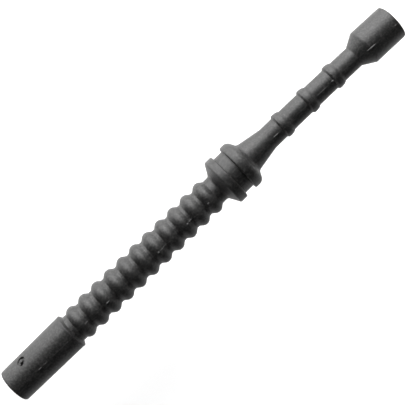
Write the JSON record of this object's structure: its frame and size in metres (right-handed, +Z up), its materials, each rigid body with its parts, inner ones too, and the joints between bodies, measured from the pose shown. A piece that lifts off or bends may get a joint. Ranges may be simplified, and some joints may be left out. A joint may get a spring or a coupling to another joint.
{
  "type": "moulded fuel hose",
  "caption": "Moulded black rubber fuel hose with a plain cuff, bellows, tank-wall grommet, beaded neck and flared socket; it bends at every fold.",
  "frame": {"origin": "on the hose's axis, in the middle of the groove that the tank wall sits in", "axes": "+X along the hose towards the carburettor socket; +Z up, with the mould's parting line just beside it"},
  "size_m": [0.131, 0.0134, 0.0134],
  "materials": {
    "black_rubber": "matte moulded rubber with a faint sheen"
  },
  "bodies": {
    "grommet": {"inner_flange": "black_rubber", "groove_collar": "black_rubber", "outer_flange": "black_rubber", "taper": "black_rubber"},
    "cuff": {"pickup_cuff": "black_rubber"},
    "socket": {"socket_flare": "black_rubber", "carburettor_socket": "black_rubber"},
    "fold_1": {"bellows_fold_1": "black_rubber"},
    "fold_2": {"bellows_fold_2": "black_rubber"},
    "fold_3": {"bellows_fold_3": "black_rubber"},
    "fold_4": {"bellows_fold_4": "black_rubber"},
    "fold_5": {"bellows_fold_5": "black_rubber"},
    "fold_6": {"bellows_fold_6": "black_rubber"},
    "fold_7": {"bellows_fold_7": "black_rubber"},
    "fold_8": {"bellows_fold_8": "black_rubber"},
    "fold_9": {"bellows_fold_9": "black_rubber"},
    "fold_10": {"bellows_fold_10": "black_rubber"},
    "fold_11": {"bellows_fold_11": "black_rubber"},
    "fold_12": {"bellows_fold_12": "black_rubber"},
    "crest_1": {"bellows_crest_1": "black_rubber"},
    "crest_2": {"bellows_crest_2": "black_rubber"},
    "crest_3": {"bellows_crest_3": "black_rubber"},
    "crest_4": {"bellows_crest_4": "black_rubber"},
    "crest_5": {"bellows_crest_5": "black_rubber"},
    "crest_6": {"bellows_crest_6": "black_rubber"},
    "crest_7": {"bellows_crest_7": "black_rubber"},
    "crest_8": {"bellows_crest_8": "black_rubber"},
    "crest_9": {"bellows_crest_9": "black_rubber"},
    "crest_10": {"bellows_crest_10": "black_rubber"},
    "crest_11": {"bellows_crest_11": "black_rubber"},
    "band_1": {"neck_band_1": "black_rubber"},
    "band_2": {"neck_band_2": "black_rubber"},
    "band_3": {"neck_band_3": "black_rubber"},
    "band_4": {"neck_band_4": "black_rubber"},
    "bead_1": {"neck_bead_1": "black_rubber"},
    "bead_2": {"neck_bead_2": "black_rubber"},
    "bead_3": {"neck_bead_3": "black_rubber"}
  },
  "joints": [
    {"name": "fold_12_pitch", "type": "hinge", "parent": "grommet", "child": "fold_12", "pos_m": [-0.0069, 0, 0], "axis": [0, 0.9636, 0.2672], "range_deg": [-9, 9], "stiffness_Nm_per_rad": 0.03, "deforming": ["bellows_fold_12"]},
    {"name": "fold_12_yaw", "type": "hinge", "parent": "fold_12", "child": "crest_11", "pos_m": [-0.0069, 0, 0], "axis": [0, -0.2672, 0.9636], "range_deg": [-9, 9], "stiffness_Nm_per_rad": 0.03, "deforming": ["bellows_fold_12"]},
    {"name": "fold_11_pitch", "type": "hinge", "parent": "crest_11", "child": "fold_11", "pos_m": [-0.01132, 0, 0], "axis": [0, 0.9636, 0.2672], "range_deg": [-9, 9], "stiffness_Nm_per_rad": 0.03, "deforming": ["bellows_fold_11"]},
    {"name": "fold_11_yaw", "type": "hinge", "parent": "fold_11", "child": "crest_10", "pos_m": [-0.01132, 0, 0], "axis": [0, -0.2672, 0.9636], "range_deg": [-9, 9], "stiffness_Nm_per_rad": 0.03, "deforming": ["bellows_fold_11"]},
    {"name": "fold_10_pitch", "type": "hinge", "parent": "crest_10", "child": "fold_10", "pos_m": [-0.01574, 0, 0], "axis": [0, 0.9636, 0.2672], "range_deg": [-9, 9], "stiffness_Nm_per_rad": 0.03, "deforming": ["bellows_fold_10"]},
    {"name": "fold_10_yaw", "type": "hinge", "parent": "fold_10", "child": "crest_9", "pos_m": [-0.01574, 0, 0], "axis": [0, -0.2672, 0.9636], "range_deg": [-9, 9], "stiffness_Nm_per_rad": 0.03, "deforming": ["bellows_fold_10"]},
    {"name": "fold_9_pitch", "type": "hinge", "parent": "crest_9", "child": "fold_9", "pos_m": [-0.02016, 0, 0], "axis": [0, 0.9636, 0.2672], "range_deg": [-9, 9], "stiffness_Nm_per_rad": 0.03, "deforming": ["bellows_fold_9"]},
    {"name": "fold_9_yaw", "type": "hinge", "parent": "fold_9", "child": "crest_8", "pos_m": [-0.02016, 0, 0], "axis": [0, -0.2672, 0.9636], "range_deg": [-9, 9], "stiffness_Nm_per_rad": 0.03, "deforming": ["bellows_fold_9"]},
    {"name": "fold_8_pitch", "type": "hinge", "parent": "crest_8", "child": "fold_8", "pos_m": [-0.02458, 0, 0], "axis": [0, 0.9636, 0.2672], "range_deg": [-9, 9], "stiffness_Nm_per_rad": 0.03, "deforming": ["bellows_fold_8"]},
    {"name": "fold_8_yaw", "type": "hinge", "parent": "fold_8", "child": "crest_7", "pos_m": [-0.02458, 0, 0], "axis": [0, -0.2672, 0.9636], "range_deg": [-9, 9], "stiffness_Nm_per_rad": 0.03, "deforming": ["bellows_fold_8"]},
    {"name": "fold_7_pitch", "type": "hinge", "parent": "crest_7", "child": "fold_7", "pos_m": [-0.029, 0, 0], "axis": [0, 0.9636, 0.2672], "range_deg": [-9, 9], "stiffness_Nm_per_rad": 0.03, "deforming": ["bellows_fold_7"]},
    {"name": "fold_7_yaw", "type": "hinge", "parent": "fold_7", "child": "crest_6", "pos_m": [-0.029, 0, 0], "axis": [0, -0.2672, 0.9636], "range_deg": [-9, 9], "stiffness_Nm_per_rad": 0.03, "deforming": ["bellows_fold_7"]},
    {"name": "fold_6_pitch", "type": "hinge", "parent": "crest_6", "child": "fold_6", "pos_m": [-0.03342, 0, 0], "axis": [0, 0.9636, 0.2672], "range_deg": [-9, 9], "stiffness_Nm_per_rad": 0.03, "deforming": ["bellows_fold_6"]},
    {"name": "fold_6_yaw", "type": "hinge", "parent": "fold_6", "child": "crest_5", "pos_m": [-0.03342, 0, 0], "axis": [0, -0.2672, 0.9636], "range_deg": [-9, 9], "stiffness_Nm_per_rad": 0.03, "deforming": ["bellows_fold_6"]},
    {"name": "fold_5_pitch", "type": "hinge", "parent": "crest_5", "child": "fold_5", "pos_m": [-0.03784, 0, 0], "axis": [0, 0.9636, 0.2672], "range_deg": [-9, 9], "stiffness_Nm_per_rad": 0.03, "deforming": ["bellows_fold_5"]},
    {"name": "fold_5_yaw", "type": "hinge", "parent": "fold_5", "child": "crest_4", "pos_m": [-0.03784, 0, 0], "axis": [0, -0.2672, 0.9636], "range_deg": [-9, 9], "stiffness_Nm_per_rad": 0.03, "deforming": ["bellows_fold_5"]},
    {"name": "fold_4_pitch", "type": "hinge", "parent": "crest_4", "child": "fold_4", "pos_m": [-0.04226, 0, 0], "axis": [0, 0.9636, 0.2672], "range_deg": [-9, 9], "stiffness_Nm_per_rad": 0.03, "deforming": ["bellows_fold_4"]},
    {"name": "fold_4_yaw", "type": "hinge", "parent": "fold_4", "child": "crest_3", "pos_m": [-0.04226, 0, 0], "axis": [0, -0.2672, 0.9636], "range_deg": [-9, 9], "stiffness_Nm_per_rad": 0.03, "deforming": ["bellows_fold_4"]},
    {"name": "fold_3_pitch", "type": "hinge", "parent": "crest_3", "child": "fold_3", "pos_m": [-0.04668, 0, 0], "axis": [0, 0.9636, 0.2672], "range_deg": [-9, 9], "stiffness_Nm_per_rad": 0.03, "deforming": ["bellows_fold_3"]},
    {"name": "fold_3_yaw", "type": "hinge", "parent": "fold_3", "child": "crest_2", "pos_m": [-0.04668, 0, 0], "axis": [0, -0.2672, 0.9636], "range_deg": [-9, 9], "stiffness_Nm_per_rad": 0.03, "deforming": ["bellows_fold_3"]},
    {"name": "fold_2_pitch", "type": "hinge", "parent": "crest_2", "child": "fold_2", "pos_m": [-0.0511, 0, 0], "axis": [0, 0.9636, 0.2672], "range_deg": [-9, 9], "stiffness_Nm_per_rad": 0.03, "deforming": ["bellows_fold_2"]},
    {"name": "fold_2_yaw", "type": "hinge", "parent": "fold_2", "child": "crest_1", "pos_m": [-0.0511, 0, 0], "axis": [0, -0.2672, 0.9636], "range_deg": [-9, 9], "stiffness_Nm_per_rad": 0.03, "deforming": ["bellows_fold_2"]},
    {"name": "fold_1_pitch", "type": "hinge", "parent": "crest_1", "child": "fold_1", "pos_m": [-0.05552, 0, 0], "axis": [0, 0.9636, 0.2672], "range_deg": [-9, 9], "stiffness_Nm_per_rad": 0.03, "deforming": ["bellows_fold_1"]},
    {"name": "fold_1_yaw", "type": "hinge", "parent": "fold_1", "child": "cuff", "pos_m": [-0.05552, 0, 0], "axis": [0, -0.2672, 0.9636], "range_deg": [-9, 9], "stiffness_Nm_per_rad": 0.03, "deforming": ["bellows_fold_1"]},
    {"name": "band_1_pitch", "type": "hinge", "parent": "grommet", "child": "band_1", "pos_m": [0.01267, 0, 0], "axis": [0, 0.9636, 0.2672], "range_deg": [-12, 12], "stiffness_Nm_per_rad": 0.034, "deforming": ["neck_band_1"]},
    {"name": "band_1_yaw", "type": "hinge", "parent": "band_1", "child": "bead_1", "pos_m": [0.01267, 0, 0], "axis": [0, -0.2672, 0.9636], "range_deg": [-12, 12], "stiffness_Nm_per_rad": 0.034, "deforming": ["neck_band_1"]},
    {"name": "band_2_pitch", "type": "hinge", "parent": "bead_1", "child": "band_2", "pos_m": [0.02143, 0, 0], "axis": [0, 0.9636, 0.2672], "range_deg": [-12, 12], "stiffness_Nm_per_rad": 0.034, "deforming": ["neck_band_2"]},
    {"name": "band_2_yaw", "type": "hinge", "parent": "band_2", "child": "bead_2", "pos_m": [0.02143, 0, 0], "axis": [0, -0.2672, 0.9636], "range_deg": [-12, 12], "stiffness_Nm_per_rad": 0.034, "deforming": ["neck_band_2"]},
    {"name": "band_3_pitch", "type": "hinge", "parent": "bead_2", "child": "band_3", "pos_m": [0.03019, 0, 0], "axis": [0, 0.9636, 0.2672], "range_deg": [-12, 12], "stiffness_Nm_per_rad": 0.034, "deforming": ["neck_band_3"]},
    {"name": "band_3_yaw", "type": "hinge", "parent": "band_3", "child": "bead_3", "pos_m": [0.03019, 0, 0], "axis": [0, -0.2672, 0.9636], "range_deg": [-12, 12], "stiffness_Nm_per_rad": 0.034, "deforming": ["neck_band_3"]},
    {"name": "band_4_pitch", "type": "hinge", "parent": "bead_3", "child": "band_4", "pos_m": [0.03895, 0, 0], "axis": [0, 0.9636, 0.2672], "range_deg": [-12, 12], "stiffness_Nm_per_rad": 0.034, "deforming": ["neck_band_4"]},
    {"name": "band_4_yaw", "type": "hinge", "parent": "band_4", "child": "socket", "pos_m": [0.03895, 0, 0], "axis": [0, -0.2672, 0.9636], "range_deg": [-12, 12], "stiffness_Nm_per_rad": 0.034, "deforming": ["neck_band_4"]}
  ]
}
